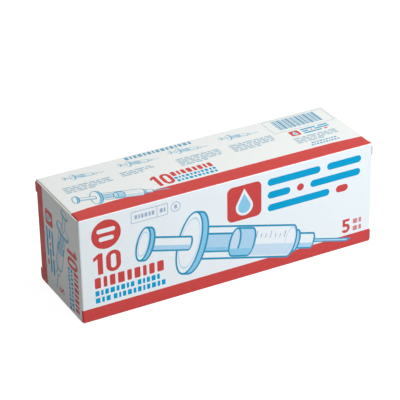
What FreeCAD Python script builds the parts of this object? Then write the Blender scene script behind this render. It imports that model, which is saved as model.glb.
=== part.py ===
"""A printed folding carton of ten 5 ml syringes, closed at both ends by tuck lids.

The carton is one creased and glued sheet of folding boxboard: four panels, an
inner glue flap and two dust flaps at each end. The lid at each end is a plate
with slit-lock shoulders and a tuck flap folded from it. The left lid hangs on
the front panel and tucks in behind the back panel. The right lid hangs on the
back panel and tucks in behind the front panel. Inside lie ten syringes, each
sealed in its own pouch, in rows of three and two that point opposite ways.

Millimetres. +X runs along the carton, -Y is the front panel, +Z is up, and the
origin is the middle of the underside.
"""
import FreeCAD, Part
import math
import os
from FreeCAD import Vector

os.makedirs("parts", exist_ok=True)

# Carton
carton_length = 170.0          # over both closed lids
carton_depth = 51.5            # front panel to back panel
carton_height = 59.0
board = 0.45                   # thickness of the boxboard
fold_radius = 0.9              # outside of every folded edge

# Glue flap, folded from the back panel and glued down on the bottom panel
glue_flap_width = 14.0
glue_flap_slant_deg = 15.0     # its ends are cut back at this angle
glue_flap_end_gap = 2.5        # from a dust flap to the glue flap

# Dust flaps, folded down and up behind each lid
dust_flap_length = 24.0
dust_hinge_side_gap = 0.8      # to the panel that carries the lid
dust_tuck_side_gap = 2.2       # to the panel that the lid tucks behind
dust_flap_straight = 7.0       # straight side before the taper starts
dust_flap_taper = 6.0
dust_flap_corner = 4.0

# Lids
lid_seat_gap = 0.1             # closed lid to the panel ends that it lies over
lid_trim = 0.5                 # the plate is this much lower than the carton, top and bottom
crease_gap = 0.35              # from the hinge axis to the edges that meet there
shoulder_height = 7.0          # slit-lock shoulders at both ends of the tuck fold
shoulder_reach = 0.3           # past the outside of the panel that the lid tucks behind
shoulder_corner = 2.0
slit_width = 0.3
tuck_length = 14.0
tuck_lean_deg = 8.0            # the flap leans away from the panel, so its tip swings clear
tuck_side_gap = 0.3            # tuck fold to the inside of that panel
tuck_corner = 6.0

# Wrapped syringe: a 5 ml syringe with a capped needle, under film sealed to paper
film = 0.15
thumb_rest_diameter = 14.4
thumb_rest_thickness = 1.6
rod_diameter = 9.6             # over the ribs of the plunger rod
rod_showing = 12.4             # between thumb rest and finger flange
finger_flange_width = 22.0
finger_flange_across = 15.0     # its two short ends are fully round
finger_flange_thickness = 1.8
barrel_diameter = 13.8
barrel_length = 61.0
needle_cap_diameter = 7.0
needle_cap_length = 49.0
pouch_length = 160.0
pouch_width = 22.5
pouch_thickness = 0.35

# How the wrapped syringes lie
row_counts = (3, 2, 3, 2)
pack_side_gap = 0.3            # to the front and back panels
pack_floor_gap = 0.2           # to the glue flap on the bottom panel
pouch_edge_gap = 0.6           # between the long edges of pouches two rows apart

# Places that follow from the sizes above
half_length = carton_length / 2
half_depth = carton_depth / 2
panel_end = half_length - board - lid_seat_gap
inner_fold_radius = fold_radius - board
shortest_line = 1e-6           # an outline's corners that lie nearer than this have no line between them
hinge_y = half_depth - board / 2


def along_x(x):
    """Map an outline's (u, v) to (Y, Z) at this X."""
    return lambda u, v: Vector(x, u, v)


def along_y(y):
    """Map an outline's (u, v) to (X, Z) at this Y."""
    return lambda u, v: Vector(u, y, v)


def along_z(z):
    """Map an outline's (u, v) to (X, Y) at this Z."""
    return lambda u, v: Vector(u, v, z)


def rounded_face(corners, radii, place):
    """Face inside the 2-D corners, each rounded by its own radius (0 leaves it sharp)."""
    points = [Vector(u, v, 0) for u, v in corners]
    edges = []
    stops = []
    for i, corner in enumerate(points):
        radius = radii[i]
        back = (points[i - 1] - corner).normalize()
        ahead = (points[(i + 1) % len(points)] - corner).normalize()
        half_angle = back.getAngle(ahead) / 2
        cut = radius / math.tan(half_angle)
        start = corner + back * cut
        end = corner + ahead * cut
        stops.append((start, end))
        if radius > 0:
            inward = (back + ahead).normalize()
            middle = corner + inward * (radius / math.sin(half_angle) - radius)
            arc_points = [place(p.x, p.y) for p in (start, middle, end)]
            edges.append(Part.Arc(*arc_points).toShape())
    for i, (start, end) in enumerate(stops):
        following = stops[(i + 1) % len(stops)][0]
        if end.distanceToPoint(following) > shortest_line:
            edges.append(Part.makeLine(place(end.x, end.y), place(following.x, following.y)))
    return Part.Face(Part.Wire(Part.__sortEdges__(edges)))


def box(x_range, y_range, z_range):
    """Box between the given limits."""
    low = Vector(x_range[0], y_range[0], z_range[0])
    return Part.makeBox(x_range[1] - x_range[0], y_range[1] - y_range[0], z_range[1] - z_range[0], low)


def other_end(shape):
    """The same shape at the carton's other end: half a turn about Z."""
    turned = shape.copy()
    turned.rotate(Vector(0, 0, 0), Vector(0, 0, 1), 180)
    return turned


def upside_down(shape):
    """The same shape at the underside: mirrored about the carton's mid-height."""
    return shape.mirror(Vector(0, 0, carton_height / 2), Vector(0, 0, 1))


def panel_tube():
    """The four panels as one folded sleeve, open at both ends."""
    outside = [(-half_depth, 0), (half_depth, 0), (half_depth, carton_height), (-half_depth, carton_height)]
    inside = [(-half_depth + board, board), (half_depth - board, board),
              (half_depth - board, carton_height - board), (-half_depth + board, carton_height - board)]
    run = Vector(2 * panel_end, 0, 0)
    place = along_x(-panel_end)
    sleeve = rounded_face(outside, [fold_radius] * 4, place).extrude(run)
    return sleeve.cut(rounded_face(inside, [inner_fold_radius] * 4, place).extrude(run))


def glue_flap():
    """The flap that closes the sleeve, glued face to face on the bottom panel."""
    half_run = panel_end - board - glue_flap_end_gap
    slant = glue_flap_width * math.tan(math.radians(glue_flap_slant_deg))
    fold_y = half_depth - board
    free_y = fold_y - glue_flap_width
    outline = [(-half_run, fold_y), (half_run, fold_y), (half_run - slant, free_y), (-half_run + slant, free_y)]
    return rounded_face(outline, [0, 0, 0, 0], along_z(board)).extrude(Vector(0, 0, board))


def dust_flap_limits():
    """Y of a left dust flap's two sides: by the front panel, and by the back panel."""
    hinge_side = -half_depth + board + dust_hinge_side_gap
    tuck_side = half_depth - board - dust_tuck_side_gap
    return hinge_side, tuck_side


def top_left_dust_flap():
    """Flap folded down from the top panel behind the left lid, tapered to its free edge."""
    hinge_side, tuck_side = dust_flap_limits()
    top = carton_height
    tip = top - dust_flap_length
    shoulder = top - dust_flap_straight
    section = [(-panel_end + fold_radius, top), (-panel_end, top), (-panel_end, tip),
               (-panel_end + board, tip), (-panel_end + board, top - board), (-panel_end + fold_radius, top - board)]
    radii = [0, fold_radius, 0, 0, inner_fold_radius, 0]
    strip = rounded_face(section, radii, along_y(hinge_side)).extrude(Vector(0, tuck_side - hinge_side, 0))
    outline = [(hinge_side, top), (tuck_side, top), (tuck_side, shoulder), (tuck_side - dust_flap_taper, tip),
               (hinge_side + dust_flap_taper, tip), (hinge_side, shoulder)]
    corners = [0, 0, 0, dust_flap_corner, dust_flap_corner, 0]
    return strip.common(rounded_face(outline, corners, along_x(-panel_end)).extrude(Vector(fold_radius, 0, 0)))


def carton_body():
    """Sleeve, glue flap and four dust flaps: one folded sheet."""
    hinge_side, tuck_side = dust_flap_limits()
    fold_notch = box((-panel_end, -panel_end + fold_radius), (hinge_side, tuck_side),
                     (carton_height - fold_radius, carton_height))
    notches = [fold_notch, upside_down(fold_notch)]
    flaps = [top_left_dust_flap(), upside_down(top_left_dust_flap())]
    notches += [other_end(notch) for notch in notches]
    flaps += [other_end(flap) for flap in flaps]
    return panel_tube().cut(notches).fuse(flaps + [glue_flap()]).removeSplitter()


def lid_plate():
    """Flat plate of the left lid, with a slit-lock shoulder at each end of its free edge."""
    hinge_edge = -hinge_y + crease_gap
    fold_start = half_depth - board - tuck_side_gap - fold_radius
    shoulder_edge = half_depth + shoulder_reach
    low = lid_trim
    high = carton_height - lid_trim
    outline = [(hinge_edge, low), (shoulder_edge, low), (shoulder_edge, shoulder_height),
               (fold_start, shoulder_height), (fold_start, carton_height - shoulder_height),
               (shoulder_edge, carton_height - shoulder_height), (shoulder_edge, high), (hinge_edge, high)]
    corners = [0, shoulder_corner, 0, 0, 0, 0, shoulder_corner, 0]
    return rounded_face(outline, corners, along_x(-half_length)).extrude(Vector(board, 0, 0))


def tuck_flap():
    """Tuck flap of the left lid with its fold, leaning in from the back panel."""
    lean = math.radians(tuck_lean_deg)
    fold_y = half_depth - board - tuck_side_gap
    outer_x = -half_length
    inner_x = outer_x + board
    tip_outer = (outer_x + tuck_length * math.cos(lean), fold_y - tuck_length * math.sin(lean))
    tip_inner = (tip_outer[0] - board * math.sin(lean), tip_outer[1] - board * math.cos(lean))
    inner_run = (inner_x - outer_x + board * math.sin(lean)) / math.cos(lean)
    inner_corner = (inner_x, fold_y - board * math.cos(lean) - inner_run * math.sin(lean))
    fold_start = fold_y - fold_radius
    section = [(outer_x, fold_start), (outer_x, fold_y), tip_outer, tip_inner, inner_corner, (inner_x, fold_start)]
    # The fold's arc is as long on the plate as it is on the leaning flap, and its inside stays sharp
    radii = [0, fold_radius * math.tan(math.radians(45) - lean / 2), 0, 0, 0, 0]
    low = shoulder_height + slit_width
    high = carton_height - shoulder_height - slit_width
    strip = rounded_face(section, radii, along_z(low)).extrude(Vector(0, 0, high - low))
    tip_x = outer_x + tuck_length
    outline = [(outer_x, low), (tip_x, low), (tip_x, high), (outer_x, high)]
    rounded = rounded_face(outline, [0, tuck_corner, tuck_corner, 0], along_y(0))
    return strip.common(rounded.extrude(Vector(0, carton_depth, 0)))


def lid():
    """Left lid: plate and tuck flap folded from one piece of the sheet."""
    return lid_plate().fuse(tuck_flap()).removeSplitter()


def syringe_under_film():
    """The wrapped syringe's own form along X, thumb rest at -X, with the film drawn over it."""
    length = (thumb_rest_thickness + rod_showing + finger_flange_thickness + barrel_length
              + needle_cap_length)
    thumb_end = -length / 2
    rod_start = thumb_end + thumb_rest_thickness
    flange_start = rod_start + rod_showing
    cap_start = flange_start + finger_flange_thickness + barrel_length
    cap_end = cap_start + needle_cap_length
    thumb_radius = thumb_rest_diameter / 2 + film
    rod_radius = rod_diameter / 2 + film
    barrel_radius = barrel_diameter / 2 + film
    cap_radius = needle_cap_diameter / 2 + film
    profile = [(thumb_end, 0), (thumb_end, thumb_radius), (rod_start, thumb_radius), (rod_start, rod_radius),
               (flange_start, rod_radius), (flange_start, barrel_radius), (cap_start, barrel_radius),
               (cap_start, cap_radius), (cap_end, cap_radius), (cap_end, 0)]
    turned = rounded_face(profile, [0] * len(profile), along_y(0))
    form = turned.revolve(Vector(0, 0, 0), Vector(1, 0, 0), 360)
    across = finger_flange_across / 2 + film
    reach = finger_flange_width / 2 + film
    corners = [(-across, -reach), (across, -reach), (across, reach), (-across, reach)]
    flange = rounded_face(corners, [across] * 4, along_x(flange_start))
    return form.fuse(flange.extrude(Vector(finger_flange_thickness, 0, 0)))


def wrapped_syringe():
    """Sealed pouch with the syringe in it, upright on its long edge, centred on the origin."""
    half_run = pouch_length / 2
    half_width = pouch_width / 2
    half_thickness = pouch_thickness / 2
    web = box((-half_run, half_run), (-half_thickness, half_thickness), (-half_width, half_width))
    return web.fuse(syringe_under_film()).removeSplitter()


def pack_places():
    """(y, z, turned) of each wrapped syringe, row by row from the bottom."""
    outer_y = half_depth - board - pack_side_gap - finger_flange_across / 2 - film
    column_step = outer_y / (max(row_counts) - 1)
    lowest = 2 * board + pack_floor_gap + pouch_width / 2
    row_step = (pouch_width + pouch_edge_gap) / 2
    places = []
    for row, count in enumerate(row_counts):
        for column in range(count):
            y = column_step * (2 * column - (count - 1))
            places.append((y, lowest + row * row_step, row % 2 == 1))
    return places


def placed_pack(place):
    """One wrapped syringe at its place, every other row pointing the other way."""
    y, z, turned = place
    pack = wrapped_syringe()
    if turned:
        pack = other_end(pack)
    pack.translate(Vector(0, y, z))
    return pack


def export(name, shape):
    """Write one sub-part."""
    shape.exportStep("parts/" + name + ".step")


export("carton_body", carton_body())
export("left_lid", lid())
export("right_lid", other_end(lid()))
for number, pack_place in enumerate(pack_places(), start=1):
    export("wrapped_syringe_%02d" % number, placed_pack(pack_place))
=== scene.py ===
import math
from functools import partial

import bmesh
import bpy
from mathutils import Matrix, Vector
from mathutils.geometry import delaunay_2d_cdt

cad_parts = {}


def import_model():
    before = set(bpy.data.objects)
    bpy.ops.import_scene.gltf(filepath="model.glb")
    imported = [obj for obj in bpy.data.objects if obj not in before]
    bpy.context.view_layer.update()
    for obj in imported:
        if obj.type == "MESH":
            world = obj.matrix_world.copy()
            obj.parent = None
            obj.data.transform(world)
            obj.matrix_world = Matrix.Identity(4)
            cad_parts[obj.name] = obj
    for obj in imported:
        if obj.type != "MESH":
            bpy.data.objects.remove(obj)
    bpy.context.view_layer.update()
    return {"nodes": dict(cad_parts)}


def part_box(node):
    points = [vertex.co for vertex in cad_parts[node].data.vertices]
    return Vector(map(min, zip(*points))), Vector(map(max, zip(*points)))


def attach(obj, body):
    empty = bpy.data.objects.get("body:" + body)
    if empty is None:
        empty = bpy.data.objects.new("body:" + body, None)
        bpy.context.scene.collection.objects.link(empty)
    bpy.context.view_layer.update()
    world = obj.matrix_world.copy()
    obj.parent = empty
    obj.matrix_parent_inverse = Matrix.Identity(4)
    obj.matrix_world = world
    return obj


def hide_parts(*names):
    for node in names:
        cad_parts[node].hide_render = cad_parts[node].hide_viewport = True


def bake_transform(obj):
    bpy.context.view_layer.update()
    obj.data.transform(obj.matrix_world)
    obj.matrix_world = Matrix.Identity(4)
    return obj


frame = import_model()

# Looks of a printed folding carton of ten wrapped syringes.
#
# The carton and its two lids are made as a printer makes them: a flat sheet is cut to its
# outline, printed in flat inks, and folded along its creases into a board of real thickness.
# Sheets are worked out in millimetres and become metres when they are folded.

MM = 0.001

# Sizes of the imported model, in millimetres
body_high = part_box("carton_body")[1] / MM
lid_low, lid_high = (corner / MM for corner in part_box("left_lid"))
half_length = -lid_low.x
half_depth = body_high.y
height = body_high.z
panel_end = body_high.x
lid_bottom, lid_top = lid_low.z, lid_high.z
shoulder_edge = lid_high.y

# The board and its folds, as in the model
board = 0.45
fold_radius = 0.9
glue_flap_width = 14.0
glue_flap_end_gap = 2.5
glue_flap_slant_deg = 15.0
dust_flap_length = 24.0
dust_hinge_side_gap = 0.8
dust_tuck_side_gap = 2.2
dust_flap_straight = 7.0
dust_flap_taper = 6.0
dust_flap_corner = 4.0
shoulder_height = 7.0
shoulder_corner = 2.0
slit_width = 0.3
tuck_length = 14.0
tuck_lean_deg = 8.0
tuck_side_gap = 0.3
tuck_corner = 6.0

die_cut = 0.15                 # width of the cut beside a dust flap
glue_line = 0.02               # between glue flap and bottom panel

# How finely folds and round shapes are drawn
fold_steps = 6
arc_step_deg = 9.0
on_join = 1e-6                 # mm short of a join in a path that count as past it
on_line = 1e-4                 # mm off a line of the sheet that still count as on it


# ---- Folding ----

def left_of(angle):
    """Unit vector to the left of a heading: the printed side of a folded sheet."""
    return Vector((-math.sin(angle), math.cos(angle)))


def folded_path(start, heading_deg, runs):
    """Lay straight runs (length) and right-hand bends (radius, degrees) end to end."""
    at, heading, distance = Vector(start), math.radians(heading_deg), 0.0
    path = []
    for run in runs:
        if isinstance(run, tuple):
            radius, turn = run[0], math.radians(run[1])
            centre = at - left_of(heading) * radius
            path.append((distance, at.copy(), heading, radius))
            heading -= turn
            at = centre + left_of(heading) * radius
            distance += radius * turn
        else:
            path.append((distance, at.copy(), heading, 0.0))
            at = at + Vector((math.cos(heading), math.sin(heading))) * run
            distance += run
    path.append((distance, at.copy(), heading, 0.0))
    return path


def on_path(path, distance, depth):
    """Point at this distance along a path and this deep in the board, and the way out of it."""
    begin, at, heading, radius = [piece for piece in path if piece[0] <= distance + on_join][-1]
    along = distance - begin
    if radius:
        out = left_of(heading - along / radius)
        return at - left_of(heading) * radius + out * (radius - depth), out
    out = left_of(heading)
    return at + Vector((out.y, -out.x)) * along - out * depth, out


def bend_lines(path, low, high):
    """Lines along the folds of a path, as pairs of sheet points."""
    lines = []
    for piece, following in zip(path, path[1:]):
        if piece[3]:
            for step in range(fold_steps + 1):
                s = piece[0] + (following[0] - piece[0]) * step / fold_steps
                lines.append(((low, s), (high, s)))
    return lines


# ---- Outlines ----

def arc(centre, radius, from_deg, to_deg, squeeze=1.0):
    """Points of an arc. squeeze narrows it along X, as a circle seen aslant."""
    steps = max(2, math.ceil(abs(to_deg - from_deg) / arc_step_deg))
    angles = [math.radians(from_deg + (to_deg - from_deg) * i / steps) for i in range(steps + 1)]
    return [(centre[0] + radius * squeeze * math.cos(a), centre[1] + radius * math.sin(a))
            for a in angles]


def rounded(corners, radii):
    """Outline through the corners, each rounded by its own radius."""
    points = [Vector(corner) for corner in corners]
    outline = []
    for i, corner in enumerate(points):
        radius = radii[i]
        if not radius:
            outline.append(tuple(corner))
            continue
        back = (points[i - 1] - corner).normalized()
        ahead = (points[(i + 1) % len(points)] - corner).normalized()
        half = back.angle(ahead) / 2
        centre = corner + (back + ahead).normalized() * (radius / math.sin(half))
        start = corner + back * (radius / math.tan(half)) - centre
        sweep = back.angle_signed(ahead)
        turn = (math.pi - abs(sweep)) * (1 if sweep > 0 else -1)
        steps = max(2, math.ceil(math.degrees(abs(turn)) / arc_step_deg))
        for step in range(steps + 1):
            spun = Matrix.Rotation(turn * step / steps, 2) @ start
            outline.append(tuple(centre + spun))
    return outline


def bar(x, y, width, tall, corner=0.0):
    """Rectangle with its lower left corner at (x, y), and round corners if corner is given."""
    corners = [(x, y), (x + width, y), (x + width, y + tall), (x, y + tall)]
    return rounded(corners, [min(corner, width / 2, tall / 2)] * 4)


# ---- The carton's sheet ----

side_fold = (fold_radius, 90)
bottom_free_y = half_depth - board
front_run = height - 2 * fold_radius
across_run = 2 * (half_depth - fold_radius)
glue_fold_top = board + glue_line + fold_radius
carton_path = folded_path((bottom_free_y, 0), 180, [
    bottom_free_y + half_depth - fold_radius, side_fold,
    front_run, side_fold,
    across_run, side_fold,
    height - fold_radius - glue_fold_top, side_fold,
    glue_flap_width - fold_radius + board])
(_, _, front_at, top_fold_at, top_at, _, back_at, glue_fold_at, glue_at,
 sheet_end) = [piece[0] for piece in carton_path]
fold_run = fold_radius * math.pi / 2
flap_fold_x = panel_end - fold_radius
crease_x = half_length - fold_radius


def bottom_distance(y):
    """Distance along the carton's path of a line on the bottom panel."""
    return bottom_free_y - y


def top_distance(y):
    """Distance along the carton's path of a line on the top panel."""
    return top_at + y + half_depth - fold_radius


def flap_limits(end):
    """Both dust flaps of an end, -1 or 1, as the distances where they start and stop."""
    hinge_side = end * (half_depth - board - dust_hinge_side_gap)
    tuck_side = -end * (half_depth - board - dust_tuck_side_gap)
    return [sorted((distance(hinge_side), distance(tuck_side)))
            for distance in (bottom_distance, top_distance)]


def flap_profile(start, stop):
    """Outline of one dust flap, out from the panel's end and back to it."""
    shoulder = flap_fold_x + fold_run + dust_flap_straight - fold_radius
    tip = flap_fold_x + fold_run + dust_flap_length - fold_radius
    corners = [(flap_fold_x, start), (shoulder, start), (tip, start + dust_flap_taper),
               (tip, stop - dust_flap_taper), (shoulder, stop), (flap_fold_x, stop)]
    flap = rounded(corners, [0, 0, dust_flap_corner, dust_flap_corner, 0, 0])
    return ([(panel_end, start - die_cut), (flap_fold_x, start - die_cut)] + flap
            + [(flap_fold_x, stop + die_cut), (panel_end, stop + die_cut)])


def end_profile(end):
    """The sheet's cut edge at one end, from the bottom panel's free edge to the glue flap's."""
    low, high = (front_at, top_fold_at) if end < 0 else (back_at, glue_fold_at)
    crease = [(panel_end, low), (crease_x, low), (crease_x, high), (panel_end, high)]
    glue_end = panel_end - board - glue_flap_end_gap
    slant = glue_flap_width * math.tan(math.radians(glue_flap_slant_deg))
    bottom, top = flap_limits(end)
    profile = [(panel_end, 0)] + flap_profile(*bottom)
    profile += crease + flap_profile(*top) if end < 0 else flap_profile(*top) + crease
    profile += [(panel_end, glue_at), (glue_end, glue_at), (glue_end - slant, sheet_end)]
    return [(end * u, s) for u, s in profile]


def carton_outline():
    """The carton's flat sheet."""
    return end_profile(1) + end_profile(-1)[::-1]


def carton_creases():
    """Every fold line of the carton's sheet."""
    lines = bend_lines(carton_path, -panel_end, panel_end)
    for end in (-1, 1):
        for start, stop in flap_limits(end):
            for step in range(fold_steps + 1):
                u = end * (flap_fold_x + fold_run * step / fold_steps)
                lines.append(((u, start), (u, stop)))
    return lines


def fold_carton(u, s, depth):
    """Where a point of the flat carton sheet lies when the carton is folded."""
    end = -1 if u < 0 else 1
    over = abs(u) - flap_fold_x
    on_flap = any(start - on_line <= s <= stop + on_line for start, stop in flap_limits(end))
    if over <= 0 or not on_flap:
        (y, z), out = on_path(carton_path, s, depth)
        return Vector((u, y, z)), Vector((0, out.x, out.y))
    turn = min(over / fold_radius, math.pi / 2)
    inward = fold_radius - (fold_radius - depth) * math.cos(turn) + max(over - fold_run, 0)
    (y, z), out = on_path(carton_path, s, inward)
    x = end * (flap_fold_x + (fold_radius - depth) * math.sin(turn))
    normal = Vector((0, out.x, out.y)) * math.cos(turn) + Vector((end, 0, 0)) * math.sin(turn)
    return Vector((x, y, z)), normal


# ---- The lid's sheet ----

lean = math.radians(tuck_lean_deg)
tuck_bend_radius = fold_radius * math.tan(math.radians(45) - lean / 2)
tuck_fold_y = half_depth - board - tuck_side_gap - fold_radius
lid_path = folded_path((-crease_x, -half_depth), 180, [
    side_fold,
    tuck_fold_y + half_depth - fold_radius, (tuck_bend_radius, 90 + tuck_lean_deg),
    tuck_length - fold_radius])
_, plate_at, tuck_fold_at, _, tuck_end = [piece[0] for piece in lid_path]
tuck_low = shoulder_height + slit_width
tuck_high = height - tuck_low


def lid_distance(y):
    """Distance along the lid's path of an upright line on its plate."""
    return plate_at + y + half_depth - fold_radius


def lid_outline():
    """The lid's flat sheet: plate, shoulders and tuck flap."""
    shoulder = lid_distance(shoulder_edge)
    upper_slit = height - shoulder_height
    corners = [(lid_bottom, plate_at), (lid_top, plate_at), (lid_top, shoulder),
               (upper_slit, shoulder), (upper_slit, tuck_fold_at),
               (tuck_high, tuck_fold_at), (tuck_high, tuck_end),
               (tuck_low, tuck_end), (tuck_low, tuck_fold_at),
               (shoulder_height, tuck_fold_at), (shoulder_height, shoulder),
               (lid_bottom, shoulder)]
    radii = [0, 0, shoulder_corner, 0, 0, 0, tuck_corner, tuck_corner, 0, 0, 0, shoulder_corner]
    return rounded(corners, radii)


def fold_lid(z, s, depth):
    """Where a point of the left lid's flat sheet lies when the lid is folded."""
    on_tuck = tuck_low - on_line <= z <= tuck_high + on_line
    on_shoulder = s > tuck_fold_at and not on_tuck
    past = s - tuck_fold_at if on_shoulder else 0.0
    (x, y), out = on_path(lid_path, s - past, depth)
    if on_shoulder:
        out = Vector((-1, 0))
        x = -half_length + depth
    return Vector((x, y + past, z)), Vector((out.x, out.y, 0))


def crease_outline():
    """The strip of board that joins the lid's plate to the panel it hangs on."""
    low, high = fold_radius, height - fold_radius
    return [(low, 0), (high, 0), (high, plate_at), (low, plate_at)]


# ---- Printed shapes, each (ink, outlines, holes), in a panel's millimetres ----

line_width = 1.1
shade_inset = 0.4              # a drum's shaded side stops this far inside its outline
tilt_squeeze = 0.38            # a circle's width over its height in the pictured syringe

# Blocks in a row: their widths by turns, the gap as a share of the pitch, the rounding of a
# corner as a share of the height
block_cycle = (1.0, 0.6, 0.9, 1.1, 0.75)
block_gap = 0.34
block_corner = 0.12

# Fine rows of short bars: their lengths by turns, and the last row as a share of the others
fine_cycle = (4.34, 2.48, 5.58, 3.1, 1.86, 4.96, 3.72)
fine_height, fine_pitch, fine_gap, fine_corner = 1.15, 1.75, 0.8, 0.2
shortest_fine_bar = 1.0
last_row_share = 0.62

# Upright code bars and the gaps between them, by turns
code_widths = (0.5, 1.0, 0.5, 1.5)
code_gaps = (0.4, 0.6, 0.4)


def patch(ink, *outlines):
    """A field of flat ink."""
    return (ink, list(outlines), [])


def ring(ink, outer, inner):
    """A field of flat ink with a hole."""
    return (ink, [outer], [inner])


def circle(x, y, radius, squeeze=1.0):
    """Outline of a circle, seen aslant where squeeze is under 1."""
    return arc((x, y), radius, 0, 360, squeeze)[:-1]


def hull(start, stop, radius, half_width):
    """Outline of a drum that lies along X and is seen aslant."""
    squeeze = half_width / radius
    return arc((start, 0), radius, 90, 270, squeeze) + arc((stop, 0), radius, -90, 90, squeeze)


def shade(start, stop, radius, from_deg, ink):
    """The shaded underside of a drum that lies along X."""
    return patch(ink, arc((start, 0), radius, from_deg, 270, tilt_squeeze)
                 + arc((stop, 0), radius, 270, 540 - from_deg, tilt_squeeze))


def drum(start, stop, radius, body, face, *shading):
    """A drum in outline, seen from its left end. Shading is where it starts and its ink."""
    half_line = line_width / 2
    wide = radius * tilt_squeeze
    outer, inner = radius + half_line, radius - half_line
    art = [patch("line_blue", hull(start, stop, outer, wide + half_line)),
           patch(body, hull(start, stop, inner, wide - half_line)),
           patch("line_blue", circle(start, 0, outer, (wide + half_line) / outer)),
           patch(face, circle(start, 0, inner, (wide - half_line) / inner))]
    return art + ([shade(start, stop, radius - shade_inset, *shading)] if shading else [])


def hoop(ink, x, outer, inner):
    """A thin ring at x, seen aslant."""
    return [ring(ink, circle(x, 0, outer, tilt_squeeze), circle(x, 0, inner, tilt_squeeze))]


def pictured_syringe():
    """A plain line drawing of a syringe, seen from its thumb rest, needle towards +X."""
    # Where each drum stops along X, from the thumb rest at 0 to the needle's tip
    thumb, rod, flange, barrel, cone, hub, tip = 2.6, 26.8, 30.3, 88.0, 91.5, 101.5, 127.0
    stopper_start, stopper_stop = 54.0, 63.0
    thumb_radius, rod_radius, flange_radius, barrel_radius = 9.2, 3.7, 17.4, 9.1
    bore, inner_rod, cone_radius, hub_radius = 7.9, 5.0, 6.2, 4.3
    needle = [(hub - 1, -1.1), (tip - 3, -1.1), (tip, 0.7), (tip - 1, 1.1), (hub - 1, 1.1)]
    needle_shine = [(hub, -0.45), (tip - 3.2, -0.45), (tip - 2, 0.45), (hub, 0.45)]
    art = [patch("line_blue", needle), patch("pale_blue", needle_shine)]
    art += drum(cone, hub, hub_radius, "bare", "bare", 200, "pale_blue")
    art += drum(barrel, cone, cone_radius, "pale_blue", "bare")
    art += drum(flange, barrel, barrel_radius, "bare", "bare")
    art += hoop("pale_blue", barrel, bore + 0.3, bore - 0.3)
    art += [shade(stopper_stop, barrel, bore, 190, "tint_blue")]
    marks, first_mark, mark_pitch, mark_foot = 7, stopper_stop + 3.2, 2.9, 2.2
    mark_width, long_mark, short_mark = 0.5, 4.0, 2.4
    for mark in range(marks):
        tall = long_mark if mark % 3 == 0 else short_mark
        x = first_mark + mark * mark_pitch
        art.append(patch("grey_blue", bar(x, mark_foot, mark_width, tall)))
    art += drum(flange, stopper_start, inner_rod, "pale_blue", "pale_blue", 215, "sky_blue")
    art += drum(stopper_start, stopper_stop, bore, "pale_blue", "tint_blue", 210, "sky_blue")
    art += drum(rod, flange, flange_radius, "sky_blue", "bare")
    art += hoop("pale_blue", rod, 14.4, 13.7)
    art += drum(thumb, rod, rod_radius, "bare", "bare", 195, "pale_blue")
    art += drum(0, thumb, thumb_radius, "sky_blue", "bare")
    art += hoop("pale_blue", 0, 7.0, 6.4)
    return art


# The numerals' sizes are shares of their height

def numeral_one(x, y, tall, ink):
    """A plain 1."""
    outline = [(0.17, 0), (0.41, 0), (0.41, 1), (0.23, 1),
               (-0.02, 0.84), (-0.02, 0.66), (0.17, 0.76)]
    return patch(ink, [(x + a * tall, y + b * tall) for a, b in outline])


def numeral_nought(x, y, tall, ink):
    """A plain 0."""
    wide, side_stroke, end_stroke = 0.68 * tall, 0.22 * tall, 0.17 * tall
    outer_corner, inner_corner = 0.33 * tall, 0.118 * tall
    return ring(ink, bar(x, y, wide, tall, outer_corner),
                bar(x + side_stroke, y + end_stroke, wide - 2 * side_stroke,
                    tall - 2 * end_stroke, inner_corner))


def numeral_five(x, y, tall, ink):
    """A plain 5."""
    centre = (x + 0.28 * tall, y + 0.33 * tall)
    outer_radius, inner_radius = 0.33 * tall, 0.13 * tall
    bowl = arc(centre, outer_radius, -150, 125) + arc(centre, inner_radius, 125, -150)
    flag = bar(x + 0.06 * tall, y + 0.82 * tall, 0.52 * tall, 0.18 * tall)
    stem = bar(x + 0.06 * tall, y + 0.46 * tall, 0.19 * tall, 0.5 * tall)
    return patch(ink, bowl, flag, stem)


def ten(x, y, tall):
    """A plain red 10, the count of what the carton holds."""
    return [numeral_one(x, y, tall, "red"), numeral_nought(x + 0.56 * tall, y, tall, "red")]


def block_rows(ink, *rows):
    """Rows of plain upright blocks of uneven widths, each row (x, y, width, height, blocks)."""
    art = []
    for x, y, width, tall, blocks in rows:
        shares = [block_cycle[i % len(block_cycle)] for i in range(blocks)]
        gap = block_gap * width / blocks
        unit = (width - gap * (blocks - 1)) / sum(shares)
        for share in shares:
            art.append(patch(ink, bar(x, y, share * unit, tall, block_corner * tall)))
            x += share * unit + gap
    return art


def fine_rows(x, y, width, rows):
    """Fine rows of short bars, the first row at the top."""
    art = []
    for row in range(rows):
        at, turn, row_y = x, row, y + (rows - 1 - row) * fine_pitch
        last = x + width * (1.0 if row < rows - 1 else last_row_share)
        while at < last - shortest_fine_bar:
            run = min(fine_cycle[turn % len(fine_cycle)], last - at)
            art.append(patch("small_print", bar(at, row_y, run, fine_height, fine_corner)))
            at += run + fine_gap
            turn += 1
    return art


def drop(x, y, radius):
    """Outline of a drop, point up."""
    point = y + 2.1 * radius
    return arc((x, y), radius, 150, 390) + [(x, point)]


def drop_tile(x, y, size):
    """A plain drop on a red tile, its sizes in shares of the tile's."""
    centre = (x + size / 2, y + 0.37 * size)
    return [patch("red", bar(x, y, size, size, 0.16 * size)),
            patch("bare", drop(*centre, 0.25 * size)),
            patch("sky_blue", drop(*centre, 0.18 * size))]


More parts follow.
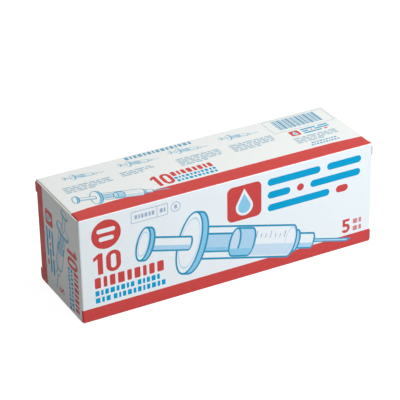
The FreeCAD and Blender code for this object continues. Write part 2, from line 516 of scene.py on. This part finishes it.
def heading_bars(x, y, width, tall):
    """Three rows of plain rounded bars and a dot, from the top row down."""
    row = 0.21 * tall
    middle, upper = y + 0.38 * tall, y + 0.76 * tall
    dot = patch("red", circle(x + 0.31 * width + row / 2, middle + row / 2, row / 2))

    def rounded_bar(ink, start, level, share):
        return patch(ink, bar(start, level, share * width, row, row / 2))
    return [rounded_bar("blue", x, upper, 0.56), rounded_bar("blue", x + 0.63 * width, upper, 0.37),
            rounded_bar("blue", x, middle, 0.24), dot,
            rounded_bar("blue", x + 0.38 * width + row, middle, 0.54),
            rounded_bar("blue", x, y, 0.66), rounded_bar("red", x + 0.73 * width, y, 0.13)]


def outlined_box(x, y, width, tall, ink):
    """An empty ruled box."""
    line, outer_corner, inner_corner = 0.35, 0.6, 0.3
    inside = bar(x + line, y + line, width - 2 * line, tall - 2 * line, inner_corner)
    return ring(ink, bar(x, y, width, tall, outer_corner), inside)


def code_bars(x, y, width, tall, ink):
    """Upright bars of a plain repeating rule."""
    art, at, step = [], x, 0
    last_start = x + width - 0.9
    while at < last_start:
        thick = code_widths[step % len(code_widths)]
        art.append(patch(ink, bar(at, y, thick, tall)))
        at += thick + code_gaps[step % len(code_gaps)]
        step += 1
    return art


def moved(art, move):
    """The same art with each point put where move says."""
    def lay(loops):
        return [[move(*point) for point in loop] for loop in loops]
    return [(ink, lay(loops), lay(holes)) for ink, loops, holes in art]


def placed(art, at, turn_deg=0.0, scale=1.0, squeeze=1.0):
    """The same art narrowed along its lines, scaled, turned and moved on its panel."""
    turn = math.radians(turn_deg)
    c, s = math.cos(turn) * scale, math.sin(turn) * scale
    return moved(art, lambda a, b: (at[0] + c * squeeze * a - s * b,
                                    at[1] + s * squeeze * a + c * b))


# Panels: (across, up) as a viewer who faces the panel reads them, to the flat sheet

def front_panel(a, b):
    return a - half_length, front_at + b - fold_radius


def top_panel(a, b):
    return a - half_length, top_at + b - fold_radius


def back_panel(a, b):
    return half_length - a, back_at + height - fold_radius - b


def bottom_panel(a, b):
    return a - half_length, bottom_distance(half_depth - b)


def lid_panel(a, b):
    return b, lid_distance(half_depth - a)


# ---- Print ----

length = 2 * half_length
fold_edge = fold_radius - fold_run / 2          # the middle of a fold, in a panel's millimetres
foot_band = 7.7                                 # top of the red band along the foot
bleed = 1.0                                     # print that runs on past a cut edge

# In the calls below a place is (across, up) on its panel, from the lower left corner. A width and
# a height, or a size, come after it, all in millimetres. Later shapes cover earlier ones.


def foot_strip(start):
    """The red band along a long panel's foot, from a little way round the fold."""
    return [patch("red", bar(-bleed, start, length + 2 * bleed, foot_band - start))]


def front_art():
    """Front panel: disc, count, drawing, tile, bars and blocks, red band along the foot."""
    art = foot_strip(fold_edge - 0.4)
    art += [patch("red", circle(14.8, 47.8, 8.1)),
            patch("bare", bar(9.7, 48.8, 10.2, 2.5, 1.25)),
            patch("bare", bar(10.7, 44.2, 8.2, 2.5, 1.25))]
    art += ten(7.4, 25.9, 12.0)
    art += block_rows("red", (7.4, 18.2, 38.5, 6.1, 9))
    art += block_rows("blue", (7.5, 13.9, 21.6, 3.0, 8), (31.0, 13.9, 12.5, 3.0, 5),
                      (7.5, 9.8, 8.2, 3.0, 3), (17.4, 9.8, 29.2, 3.0, 11))
    art += [outlined_box(28.6, 49.5, 20.6, 6.5, "grey_blue"),
            patch("grey_blue", bar(42.9, 49.5, 0.35, 6.5))]
    art += block_rows("grey_blue", (30.6, 51.6, 11.0, 2.3, 6), (44.6, 51.6, 3.2, 2.3, 2))
    art += [ring("grey_blue", circle(53.5, 52.7, 2.8), circle(53.5, 52.7, 2.4)),
            patch("grey_blue", bar(52.7, 51.6, 1.6, 2.3, 0.3))]
    art += placed(pictured_syringe(), (34.8, 36.4), turn_deg=-14.6)
    art += drop_tile(82.8, 34.6, 20.0) + heading_bars(106.5, 35.0, 56.5, 19.5)
    art += [numeral_five(151.9, 9.3, 8.2, "red")]
    return art + block_rows("pale_red", (158.8, 13.7, 5.2, 2.8, 2), (158.8, 9.4, 5.2, 2.8, 2))


def band(low, high, left_dip, right_dip):
    """The red band along the top panel's front edge, which narrows towards both ends."""
    # Its upper edge from right to left: across, and the share of that end's dip
    right = [(length + bleed, 1.0), (length - 4, 0.8), (length - 18, 0.0)]
    left = [(24.0, 0.0), (10.0, 0.3), (-bleed, 1.0)]
    upper = [(x, high - right_dip * share) for x, share in right]
    upper += [(x, high - left_dip * share) for x, share in left]
    return patch("red", [(-bleed, low), (length + bleed, low)] + upper)


def top_art():
    """Top panel: red band, drawing, count, fine rows, small drawings, a ruled box with bars."""
    art = [band(fold_edge, 10.6, left_dip=1.8, right_dip=1.2)]
    art += placed(pictured_syringe(), (8.0, 20.6), turn_deg=-15.0, scale=0.385)
    art += placed(ten(0, 0, 11.2), (50.1, 12.4), squeeze=0.8)
    art += block_rows("red", (62.0, 18.8, 23.4, 4.6, 8))
    art += block_rows("blue", (61.8, 15.5, 23.6, 2.2, 11), (61.8, 12.4, 23.0, 2.2, 10))
    art += fine_rows(7.3, 28.3, 26.7, 4) + fine_rows(39.6, 30.9, 19.0, 3)
    art += fine_rows(71.3, 26.5, 25.0, 5) + fine_rows(102.7, 26.5, 25.4, 5)
    for place in ((12.5, 44.0), (43.5, 43.2), (72.5, 43.2), (103.0, 44.0)):
        art += placed(pictured_syringe(), place, turn_deg=-8.0, scale=0.17)
    art += block_rows("mid_blue", (49.0, 46.7, 38.5, 3.0, 15))
    art += [outlined_box(130.6, 34.3, 37.4, 15.2, "small_print")]
    art += code_bars(135.6, 36.8, 27.6, 11.2, "mid_blue")
    art += drop_tile(137.6, 27.2, 5.6) + heading_bars(144.8, 27.2, 16.8, 5.6)
    art += fine_rows(136.0, 18.4, 25.6, 4)
    return art + block_rows("mid_blue", (142.4, 15.3, 15.0, 1.5, 9), (141.0, 12.9, 16.8, 1.5, 10))


def back_art():
    """Back panel, unseen: the same design with the drawing to the other side."""
    art = foot_strip(glue_fold_top - 0.7)
    art += placed(pictured_syringe(), (36.0, 20.5), turn_deg=8.0, scale=0.85)
    art += ten(6.8, 40.1, 11.7)
    art += block_rows("red", (6.9, 32.4, 39.6, 5.0, 8))
    art += block_rows("blue", (150.0, 42.0, 14.0, 3.0, 5))
    return art + drop_tile(132.0, 12.0, 11.0) + fine_rows(147.0, 12.5, 17.0, 5)


def bottom_art():
    """Bottom panel, unseen: plain, with two blocks of fine rows."""
    art = fine_rows(12.0, 14.0, 60.0, 10) + fine_rows(84.0, 14.0, 60.0, 10)
    return art + block_rows("mid_blue", (12.0, 34.0, 40.0, 3.0, 13))


def lid_art():
    """A lid: red band along the tuck fold, and art that reads downwards."""
    band_start = half_depth - shoulder_edge - 3.0     # well past the shoulders' edge
    band_stop = 8.2
    down = -90
    art = [patch("red", bar(band_start, -bleed, band_stop - band_start, height + 2 * bleed))]
    art += placed(drop_tile(0, 0, 8.8), (10.6, 47.8), down)
    art += placed(heading_bars(0, 0, 26.0, 8.6), (10.6, 37.2), down)
    art += placed(pictured_syringe(), (35.2, 54.8), turn_deg=-107.0, scale=0.41)
    art += placed(ten(0, 0, 11.8), (36.2, 38.4), down, squeeze=0.78)
    art += placed(block_rows("red", (0, 0, 23.0, 5.2, 8)), (42.8, 26.4), down)
    art += placed(block_rows("blue", (0, 0, 24.0, 2.3, 10)), (39.2, 26.0), down)
    art += placed(block_rows("blue", (0, 0, 24.4, 2.3, 11)), (36.0, 26.0), down)
    return art + placed([numeral_five(0, 0, 5.6, "red")], (23.6, 8.4), down)


def crease_art():
    """The band along the foot runs round the crease of a lid."""
    past = plate_at + bleed
    return [patch("red", [(0, -bleed), (foot_band, -bleed), (foot_band, past), (0, past)])]


# ---- Materials ----

def linear(hex_colour):
    """An sRGB hex colour as linear RGBA."""
    parts = [int(hex_colour[i:i + 2], 16) / 255 for i in (0, 2, 4)]
    return [p / 12.92 if p <= 0.04045 else ((p + 0.055) / 1.055) ** 2.4 for p in parts] + [1.0]


def per_metre(millimetres):
    """Texture scale at which one feature is this size."""
    return 1 / (millimetres * MM)


def add_node(tree, kind, settings=None, values=None, links=None):
    """Add a node, set its properties and socket values, and link its inputs. A link comes from
    a socket, or from a node's first output."""
    node = tree.nodes.new(kind)
    for name, value in (settings or {}).items():
        setattr(node, name, value)
    for name, value in (values or {}).items():
        node.inputs[name].default_value = value
    for name, source in (links or {}).items():
        socket = source.outputs[0] if isinstance(source, bpy.types.Node) else source
        tree.links.new(socket, node.inputs[name])
    return node


def new_material(name):
    """An empty material, and the function that adds nodes to it."""
    material = bpy.data.materials.new(name)
    material.use_nodes = True
    material.node_tree.nodes.clear()
    return material, partial(add_node, material.node_tree)


# Noise keeps near its middle, so its middle half is stretched over the range that is wanted
MIDDLE_HALF = {"From Min": 0.25, "From Max": 0.75}

# The patterns in a board's surface: feature size in millimetres, detail, roughness. Real fibres
# are finer than 0.35 mm, and are drawn that coarse so that they show.
BOARD_PATTERNS = {
    "mottle": (1.8, 4.0, 0.62),
    "fibres": (0.35, 3.0, 0.6),
    "waves": (48.0, 0.0, 0.5),
    "sheen": (6.0, 3.0, 0.5),
}
wave_depth = 0.5               # millimetres
sheen_spread = 0.05            # roughness either way
board_gloss_level = 0.1


def board_finish(name, hex_colour, darker_hex, roughness, fibre_depth):
    """Board or ink on board: mottled colour, fibre relief and the slow waves of a folded panel."""
    material, add = new_material(name)
    coordinates = add("ShaderNodeTexCoord").outputs["Object"]
    pattern = {
        kind: add("ShaderNodeTexNoise", links={"Vector": coordinates},
                  values={"Scale": per_metre(size), "Detail": detail, "Roughness": rough})
        for kind, (size, detail, rough) in BOARD_PATTERNS.items()}
    mottle = add("ShaderNodeMapRange", values=MIDDLE_HALF, links={"Value": pattern["mottle"]})
    colour = add("ShaderNodeMix", {"data_type": "RGBA"},
                 {"A": linear(hex_colour), "B": linear(darker_hex)}, {"Factor": mottle})
    fibre_bump = add("ShaderNodeBump", values={"Distance": fibre_depth * MM},
                     links={"Height": pattern["fibres"]})
    wave_bump = add("ShaderNodeBump", values={"Distance": wave_depth * MM},
                    links={"Height": pattern["waves"], "Normal": fibre_bump})
    gloss = add("ShaderNodeMapRange",
                values={**MIDDLE_HALF, "To Min": roughness - sheen_spread,
                        "To Max": roughness + sheen_spread},
                links={"Value": pattern["sheen"]})
    shader = add("ShaderNodeBsdfPrincipled", values={"Specular IOR Level": board_gloss_level},
                 links={"Base Color": colour.outputs["Result"], "Roughness": gloss,
                        "Normal": wave_bump})
    add("ShaderNodeOutputMaterial", links={"Surface": shader})
    return material


# Clay-coated folding boxboard, sheet-fed offset print under a satin varnish: an even, cool
# white with a soft sheen, and inks that lie flat in it and mottle very slightly.
# Each ink: its material, its colour and the darker colour that it mottles to.
INKS = {
    "bare": ("varnished_coated_boxboard", "F6F7F7", "F2F4F4"),
    "red": ("offset_ink_red", "D54C49", "CE4744"),
    "pale_red": ("offset_ink_red_tint", "DF8A8B", "D98384"),
    "blue": ("offset_ink_blue", "00A4D3", "009DCB"),
    "line_blue": ("offset_ink_line_blue", "2E9ABF", "2A93B7"),
    "mid_blue": ("offset_ink_mid_blue_tint", "78AECB", "70A7C5"),
    "sky_blue": ("offset_ink_sky_blue_tint", "94CEEA", "8DC8E5"),
    "pale_blue": ("offset_ink_pale_blue_tint", "B7D9EF", "B1D4EB"),
    "tint_blue": ("offset_ink_faint_blue_tint", "D3E4F2", "CEE0EF"),
    "grey_blue": ("offset_ink_grey_blue_tint", "A9B8CE", "A2B1C8"),
    "small_print": ("offset_ink_small_print_tint", "AFC8D8", "A8C1D2"),
}
ink_order = list(INKS)
board_materials = [board_finish(*ink, roughness=0.46, fibre_depth=0.004) for ink in INKS.values()]
# The uncoated inside of the board: creamy, matt, with fibres that show
board_materials.append(board_finish("uncoated_board_back", "EFE9DD", "E6DFD1",
                                    roughness=0.8, fibre_depth=0.015))
# Die-cut edge: white fibre, matt and a little rough from the knife
board_materials.append(board_finish("die_cut_board_edge", "F6F5F1", "EDEBE5",
                                    roughness=0.85, fibre_depth=0.02))
BACK, EDGE = len(ink_order), len(ink_order) + 1


# ---- Cutting, printing and folding a sheet ----

def signed_area(loop):
    """Twice the area inside a loop, negative if it runs clockwise."""
    return sum(a[0] * b[1] - b[0] * a[1] for a, b in zip(loop, loop[1:] + loop[:1]))


def cut_flat(outline, creases, art):
    """Triangles of a flat sheet, split along its print and creases, and the ink on each."""
    points, faces, owners = [], [], []

    def add_loop(loop, owner):
        loop = loop if signed_area(loop) > 0 else loop[::-1]
        faces.append(list(range(len(points), len(points) + len(loop))))
        points.extend(Vector(p) for p in loop)
        owners.append(owner)

    add_loop(outline, None)
    for order, (ink, loops, holes) in enumerate(art):
        for loop in loops:
            add_loop(loop, (order, True))
        for loop in holes:
            add_loop(loop, (order, False))
    edges = []
    for start, stop in creases:
        edges.append((len(points), len(points) + 1))
        points.extend((Vector(start), Vector(stop)))
    found, _, triangles, _, _, sources = delaunay_2d_cdt(
        points, edges, faces, 0, on_line, True)
    kept, inks = [], []
    for triangle, source in zip(triangles, sources):
        if 0 not in source:
            continue
        painted = {owners[i][0] for i in source if owners[i] and owners[i][1]}
        cut_out = {owners[i][0] for i in source if owners[i] and not owners[i][1]}
        showing = painted - cut_out
        kept.append(triangle)
        inks.append(ink_order.index(art[max(showing)][0]) if showing else 0)
    used = sorted({i for triangle in kept for i in triangle})
    number = {old: new for new, old in enumerate(used)}
    return [found[i] for i in used], [[number[i] for i in triangle] for triangle in kept], inks


def printed_sheet(name, outline, creases, art, fold, spin=1):
    """One sheet of board as a closed mesh: printed side, back and cut edges, folded to shape.
    A spin of -1 turns it about the middle of the carton, to its other end."""
    flat, triangles, inks = cut_flat(outline, creases, art)
    verts, normals = [], []
    for depth_in_board in (0.0, board):
        for u, s in flat:
            place, out = fold(u, s, depth_in_board)
            verts.append(Vector((spin * place.x, spin * place.y, place.z)) * MM)
            normals.append(Vector((spin * out.x, spin * out.y, out.z)))
    back = len(flat)
    faces = [tuple(t) for t in triangles]
    faces += [tuple(i + back for i in reversed(t)) for t in triangles]
    slots = inks + [BACK] * len(triangles)
    corner_normals = [normals[i] for t in triangles for i in t]
    corner_normals += [-normals[i] for t in triangles for i in reversed(t)]
    # A side that only one triangle has is cut edge. A dict keeps the sides in order.
    sides = dict.fromkeys(side for t in triangles for side in zip(t, t[1:] + t[:1]))
    for a, b in sides:
        if (b, a) not in sides:
            faces.append((b, a, a + back, b + back))
            slots.append(EDGE)
            edge_normal = (verts[a] - verts[b]).cross(verts[a + back] - verts[b]).normalized()
            corner_normals += [edge_normal] * 4
    return mesh_object(name, verts, faces, slots, corner_normals)


def in_scene(name, data):
    """A new object in the scene."""
    thing = bpy.data.objects.new(name, data)
    bpy.context.scene.collection.objects.link(thing)
    return thing


def mesh_object(name, verts, faces, slots, corner_normals):
    """A board mesh with its inks and its own corner normals."""
    mesh = bpy.data.meshes.new(name)
    mesh.from_pydata(verts, [], faces)
    for material in board_materials:
        mesh.materials.append(material)
    mesh.polygons.foreach_set("material_index", slots)
    mesh.polygons.foreach_set("use_smooth", [True] * len(faces))
    mesh.normals_split_custom_set(corner_normals)
    mesh.update()
    piece = in_scene(name, mesh)
    return piece


carton_print = (moved(bottom_art(), bottom_panel) + moved(front_art(), front_panel)
                + moved(top_art(), top_panel) + moved(back_art(), back_panel))
carton = printed_sheet("carton_sheet", carton_outline(), carton_creases(), carton_print,
                       fold_carton)
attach(carton, "carton")
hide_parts("carton_body")

# The lid's path bends twice: first at its crease, in the strip, then at the tuck flap's fold
lid_creases = bend_lines(lid_path, tuck_low, tuck_high)[-fold_steps - 1:]
strip_creases = bend_lines(lid_path, fold_radius, height - fold_radius)[:fold_steps + 1]
lid_print = moved(lid_art(), lid_panel)
for side, spin in (("left_lid", 1), ("right_lid", -1)):
    sheet = printed_sheet(side + "_sheet", lid_outline(), lid_creases, lid_print, fold_lid, spin)
    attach(sheet, side)
    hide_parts(side)
    strip = printed_sheet(side + "_crease", crease_outline(), strip_creases, crease_art(),
                          fold_lid, spin)
    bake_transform(strip)


# ---- Wrapped syringes ----

# A 5 ml syringe with a capped needle under film, as in the model
film = 0.15
thumb_rest, thumb_rest_thickness = 14.4, 1.6
rod, rod_showing = 9.6, 12.4
flange_width, flange_across, flange_thickness = 22.0, 15.0, 1.8
barrel, barrel_length = 13.8, 61.0
needle_cap, needle_cap_length = 7.0, 49.0
pouch_length, pouch_width, pouch_thickness = 160.0, 22.5, 0.35
film_rounding = 0.7            # the film rounds off every step of the syringe
rib_slope, rod_end_slope = 2.5, 1.5
stopper_length, stopper_clearance = 7.0, 2.5
scale_start, scale_clearance = 12.0, 4.0      # from the flange, and short of the stopper
scale_marks, scale_mark_width = 10, 0.5
needle_hub_length, needle_hub_flare = 9.0, (3.0, 0.8)
seal_width = 9.0               # crimped end seal of a pouch
turned_steps = 32
sharp_edge_deg = 50
weld_distance = 1e-7           # metres
TINTS = {
    "plastic": "EDF1F3", "ribs": "DDE4E9", "clear": "D3E0E8", "rubber": "4A5056",
    "scale": "6C7C8A", "hub": "57A57C", "cap": "E4ECEF", "paper": "F2F3F1",
}


def syringe_profile():
    """(X, radius, tint) along the wrapped syringe, thumb rest first, and where its flange lies.
    A tint holds up to the next point."""
    full_length = (thumb_rest_thickness + rod_showing + flange_thickness + barrel_length
                   + needle_cap_length)
    start = -full_length / 2
    rod_at = start + thumb_rest_thickness
    flange_at = rod_at + rod_showing
    cap_at = flange_at + flange_thickness + barrel_length
    end = cap_at + needle_cap_length
    thumb_r, rod_r, barrel_r, cap_r = (
        across / 2 + film for across in (thumb_rest, rod, barrel, needle_cap))
    points = [(start, 0, "plastic"), (start, thumb_r - film_rounding, "plastic"),
              (start + film_rounding, thumb_r, "plastic"), (rod_at, thumb_r, "ribs"),
              (rod_at + rib_slope, rod_r, "ribs"), (flange_at - rod_end_slope, rod_r, "ribs"),
              (flange_at, barrel_r, "clear")]
    first_mark = flange_at + scale_start
    scale_length = cap_at - stopper_length - scale_clearance - first_mark
    for mark in range(scale_marks + 1):
        at = first_mark + scale_length * mark / scale_marks
        points += [(at, barrel_r, "scale"), (at + scale_mark_width, barrel_r, "clear")]
    stopper_end = cap_at - stopper_clearance
    flare_run, flare_rise = needle_hub_flare
    points += [(cap_at - stopper_length - stopper_clearance, barrel_r, "rubber"),
               (stopper_end, barrel_r, "clear"), (cap_at - film_rounding, barrel_r, "clear"),
               (cap_at, barrel_r - film_rounding, "hub"),
               (cap_at + flare_run, cap_r + flare_rise, "hub"),
               (cap_at + needle_hub_length, cap_r, "cap"),
               (end - film_rounding, cap_r, "cap"), (end, cap_r - film_rounding, "cap"),
               (end, 0, "cap")]
    return points, flange_at


def turned_form(points):
    """Turn a profile about X into a closed form, with the tint of each face."""
    verts, faces, tints = [], [], []
    for x, radius, _ in points:
        for step in range(turned_steps):
            a = 2 * math.pi * step / turned_steps
            verts.append((x, radius * math.cos(a), radius * math.sin(a)))
    for i, (_, _, tint) in enumerate(points[:-1]):
        for step in range(turned_steps):
            a, b = i * turned_steps + step, i * turned_steps + (step + 1) % turned_steps
            faces.append((a, a + turned_steps, b + turned_steps, b))
            tints.append(tint)
    return verts, faces, tints


def slab(outline, low, high, tint):
    """A flat plate across X with this (Y, Z) outline."""
    count = len(outline)
    verts = [(x, y, z) for x in (low, high) for y, z in outline]
    faces = [tuple(range(count))[::-1], tuple(range(count, 2 * count))]
    faces += [(i, (i + 1) % count, (i + 1) % count + count, i + count) for i in range(count)]
    return verts, faces, [tint] * len(faces)


def wrapped_syringe():
    """One sealed pouch with its syringe, centred on the origin."""
    profile, flange_at = syringe_profile()
    across, reach = flange_across / 2 + film, flange_width / 2 + film
    flange = bar(-across, -reach, 2 * across, 2 * reach, across)
    web = bar(-pouch_thickness / 2, -pouch_width / 2, pouch_thickness, pouch_width)
    parts = [turned_form(profile),
             slab(flange, flange_at, flange_at + flange_thickness, "clear"),
             slab(web, -pouch_length / 2, pouch_length / 2, "paper")]
    verts, faces, tints = [], [], []
    for part_verts, part_faces, part_tints in parts:
        faces += [tuple(i + len(verts) for i in face) for face in part_faces]
        verts += [Vector(v) * MM for v in part_verts]
        tints += part_tints
    mesh = bpy.data.meshes.new("wrapped_syringe")
    mesh.from_pydata(verts, [], faces)
    colour = mesh.color_attributes.new("under_film", "FLOAT_COLOR", "CORNER")
    for face, tint in zip(mesh.polygons, tints):
        for corner in face.loop_indices:
            colour.data[corner].color = linear(TINTS[tint])
    welded = bmesh.new()
    welded.from_mesh(mesh)
    bmesh.ops.remove_doubles(welded, verts=welded.verts, dist=weld_distance)
    bmesh.ops.recalc_face_normals(welded, faces=welded.faces)
    welded.to_mesh(mesh)
    welded.free()
    mesh.shade_smooth()
    mesh.set_sharp_from_angle(angle=math.radians(sharp_edge_deg))
    return in_scene("wrapped_syringe", mesh)


def pouch_material():
    """Peel pouch: clear blown film, slightly slack, heat-sealed with a crimped pattern to white
    paper. The film gives a wet gloss with small creases over the dull plastic and paper below."""
    slack_size, slack_depth, slack_strength = 7.0, 0.5, 0.6
    most_haze = 0.16
    crimp_size, crimp_depth = 6.0, 0.12      # the size sets the crimps about 2.7 mm apart
    material, add = new_material("sealed_peel_pouch_film")
    coordinates = add("ShaderNodeTexCoord").outputs["Object"]
    under = add("ShaderNodeAttribute", {"attribute_name": "under_film"})
    slack = add("ShaderNodeTexNoise", links={"Vector": coordinates},
                values={"Scale": per_metre(slack_size), "Detail": 3.0, "Roughness": 0.55})
    haze = add("ShaderNodeMapRange", values={**MIDDLE_HALF, "To Max": most_haze},
               links={"Value": slack})
    colour = add("ShaderNodeMix", {"data_type": "RGBA"}, {"B": linear("FFFFFF")},
                 {"Factor": haze, "A": under})
    place = add("ShaderNodeSeparateXYZ", links={"Vector": coordinates})
    from_middle = add("ShaderNodeMath", {"operation": "ABSOLUTE"}, links={0: place})
    in_seal = add("ShaderNodeMath", {"operation": "GREATER_THAN"},
                  {1: (pouch_length / 2 - seal_width) * MM}, {0: from_middle})
    crimps = add("ShaderNodeTexWave", {"wave_type": "BANDS", "bands_direction": "DIAGONAL"},
                 {"Scale": per_metre(crimp_size)}, {"Vector": coordinates})
    crimp_height = add("ShaderNodeMath", {"operation": "MULTIPLY"},
                       links={0: in_seal, 1: crimps.outputs["Fac"]})
    crimp_bump = add("ShaderNodeBump", values={"Distance": crimp_depth * MM},
                     links={"Height": crimp_height})
    creases = add("ShaderNodeBump",
                  values={"Strength": slack_strength, "Distance": slack_depth * MM},
                  links={"Height": slack, "Normal": crimp_bump})
    shader = add("ShaderNodeBsdfPrincipled",
                 values={"Roughness": 0.45, "Coat Weight": 0.9, "Coat Roughness": 0.1,
                         "Coat IOR": 1.5},
                 links={"Base Color": colour.outputs["Result"], "Normal": creases,
                        "Coat Normal": creases})
    add("ShaderNodeOutputMaterial", links={"Surface": shader})
    return material


def stacking_tree(material):
    """Geometry Nodes: rows of three of the incoming pack and, between them, rows of two that are
    turned end for end."""
    tree = bpy.data.node_groups.new("stack_in_rows", "GeometryNodeTree")
    tree.interface.new_socket("Geometry", in_out="INPUT", socket_type="NodeSocketGeometry")
    for name in ("Column Pitch", "Row Pitch", "Lowest Row"):
        tree.interface.new_socket(name, in_out="INPUT", socket_type="NodeSocketFloat")
    tree.interface.new_socket("Geometry", in_out="OUTPUT", socket_type="NodeSocketGeometry")
    add = partial(add_node, tree)
    given = add("NodeGroupInput").outputs
    two_rows = add("ShaderNodeMath", {"operation": "MULTIPLY"}, {1: 2.0}, {0: given["Row Pitch"]})
    both = add("GeometryNodeJoinGeometry")
    # Packs in a row, how many rows the middle of its pair is above the lowest row, and its turn
    for columns, rows_up, turn in ((3, 1.0, 0.0), (2, 2.0, math.pi)):
        width = add("ShaderNodeMath", {"operation": "MULTIPLY"}, {1: columns - 1.0},
                    {0: given["Column Pitch"]})
        grid = add("GeometryNodeMeshGrid", values={"Vertices X": columns, "Vertices Y": 2},
                   links={"Size X": width, "Size Y": two_rows})
        middle = add("ShaderNodeMath", {"operation": "MULTIPLY_ADD"}, {1: rows_up},
                     {0: given["Row Pitch"], 2: given["Lowest Row"]})
        lift = add("ShaderNodeCombineXYZ", links={"Z": middle})
        upright = add("GeometryNodeTransform",
                      values={"Rotation": (math.pi / 2, 0, math.pi / 2)},
                      links={"Geometry": grid, "Translation": lift})
        laid = add("GeometryNodeInstanceOnPoints", values={"Rotation": (0, 0, turn)},
                   links={"Points": upright, "Instance": given["Geometry"]})
        tree.links.new(laid.outputs["Instances"], both.inputs[0])
    plain = add("GeometryNodeRealizeInstances", links={"Geometry": both})
    dressed = add("GeometryNodeSetMaterial", values={"Material": material},
                  links={"Geometry": plain})
    add("NodeGroupOutput", links={0: dressed})
    return tree


def stacked_packs():
    """All ten wrapped syringes as one plain mesh, each where its node lies."""
    # The first and second lie side by side in the lowest row, the fourth in the row above
    first_low, first_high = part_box("wrapped_syringe_01")
    second_low, second_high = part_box("wrapped_syringe_02")
    fourth_low, fourth_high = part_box("wrapped_syringe_04")
    sizes = {"Column Pitch": (second_low.y + second_high.y - first_low.y - first_high.y) / 2,
             "Row Pitch": (fourth_low.z + fourth_high.z - first_low.z - first_high.z) / 2,
             "Lowest Row": (first_low.z + first_high.z) / 2}
    pack = wrapped_syringe()
    stacker = pack.modifiers.new("stack", "NODES")
    tree = stacking_tree(pouch_material())
    stacker.node_group = tree
    for item in tree.interface.items_tree:
        if item.in_out == "INPUT" and item.name in sizes:
            stacker[item.identifier] = sizes[item.name]
    bpy.context.view_layer.update()
    stacked = pack.evaluated_get(bpy.context.evaluated_depsgraph_get())
    mesh = bpy.data.meshes.new_from_object(stacked)
    pack.modifiers.remove(stacker)
    bpy.data.objects.remove(pack)
    mesh.name = "wrapped_syringes"
    piece = in_scene("wrapped_syringes", mesh)
    return piece


packs = stacked_packs()
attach(packs, "carton")
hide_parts(*[name for name in frame["nodes"] if name.startswith("wrapped_syringe")])


# ---- Stage, lights and camera ----

def backdrop_seen(add):
    """1 for rays from the camera, a gloss or a clear surface, 0 for the rays that light things."""
    rays = add("ShaderNodeLightPath").outputs
    glossy = add("ShaderNodeMath", {"operation": "MAXIMUM"},
                 links={0: rays["Is Camera Ray"], 1: rays["Is Glossy Ray"]})
    return add("ShaderNodeMath", {"operation": "MAXIMUM"},
               links={0: glossy, 1: rays["Is Transmission Ray"]})


def stage_material():
    """Matt pale grey studio paper that glows for the camera, so it is white with a faint shadow."""
    glow_strength = 0.885
    material, add = new_material("studio_paper")
    paper = add("ShaderNodeBsdfDiffuse", values={"Color": linear("A8A8A8")})
    glow_level = add("ShaderNodeMath", {"operation": "MULTIPLY"}, {1: glow_strength},
                     {0: backdrop_seen(add)})
    glow = add("ShaderNodeEmission", values={"Color": linear("FFFFFF")},
               links={"Strength": glow_level})
    both = add("ShaderNodeAddShader", links={0: paper, 1: glow})
    add("ShaderNodeOutputMaterial", links={"Surface": both})
    return material


def floor():
    """A round plain floor."""
    radius = 3.0                   # metres
    rim = [(radius * x, radius * y, 0.0) for x, y in circle(0, 0, 1)]
    mesh = bpy.data.meshes.new("floor")
    mesh.from_pydata(rim, [], [list(range(len(rim)))])
    mesh.materials.append(stage_material())
    piece = in_scene("floor", mesh)


def world(ambient):
    """Even pale light from all round, seen as white."""
    sky = bpy.data.worlds.new("studio")
    bpy.context.scene.world = sky
    sky.use_nodes = True
    sky.node_tree.nodes.clear()
    add = partial(add_node, sky.node_tree)
    strength = add("ShaderNodeMapRange", values={"To Min": ambient},
                   links={"Value": backdrop_seen(add)})
    background = add("ShaderNodeBackground", values={"Color": linear("FFFFFF")},
                     links={"Strength": strength})
    add("ShaderNodeOutputWorld", links={"Surface": background})


def soft_lamp(name, at, aim, size, power, hex_colour):
    """A square soft lamp that points at aim, in metres and watts."""
    data = bpy.data.lights.new(name, "AREA")
    data.size = size
    data.energy = power
    data.color = linear(hex_colour)[:3]
    lamp = in_scene(name, data)
    lamp.location = at
    lamp.rotation_euler = (Vector(aim) - Vector(at)).to_track_quat("-Z", "Y").to_euler()


def camera(aim, azimuth_deg, elevation_deg, roll_deg, distance, lens):
    """A camera that looks at aim from that side, turned about its own line of sight."""
    az, el, roll = (math.radians(v) for v in (azimuth_deg, elevation_deg, roll_deg))
    back = Vector((math.sin(az) * math.cos(el), -math.cos(az) * math.cos(el), math.sin(el)))
    level = Vector((math.cos(az), math.sin(az), 0))
    rise = back.cross(level)
    right = level * math.cos(roll) + rise * math.sin(roll)
    up = rise * math.cos(roll) - level * math.sin(roll)
    data = bpy.data.cameras.new("camera")
    data.lens = lens
    data.sensor_width = 36
    data.sensor_fit = "HORIZONTAL"
    data.clip_end = 20
    seat = in_scene("camera", data)
    turned = Matrix((right, up, back)).transposed().to_4x4()
    seat.matrix_world = Matrix.Translation(Vector(aim) + back * distance) @ turned
    bpy.context.scene.camera = seat


floor()
world(ambient=0.3)
soft_lamp("key", at=(0.29, -0.20, 0.74), aim=(0.02, 0, 0.03), size=0.34, power=3.32,
          hex_colour="FFFFF6")
soft_lamp("front_fill", at=(0.38, -0.70, 0.28), aim=(0.02, 0, 0.03), size=0.4, power=4.3,
          hex_colour="E6F3FF")
soft_lamp("back_fill", at=(0.02, 0.80, 0.09), aim=(0.0, 0, 0.03), size=0.3, power=0.95,
          hex_colour="FFFFFF")
camera(aim=(-0.00229, 0.00373, 0.03473), azimuth_deg=-27.592, elevation_deg=28.387,
       roll_deg=-1.151, distance=0.95885, lens=165.1)
bpy.context.scene.view_settings.view_transform = "Standard"
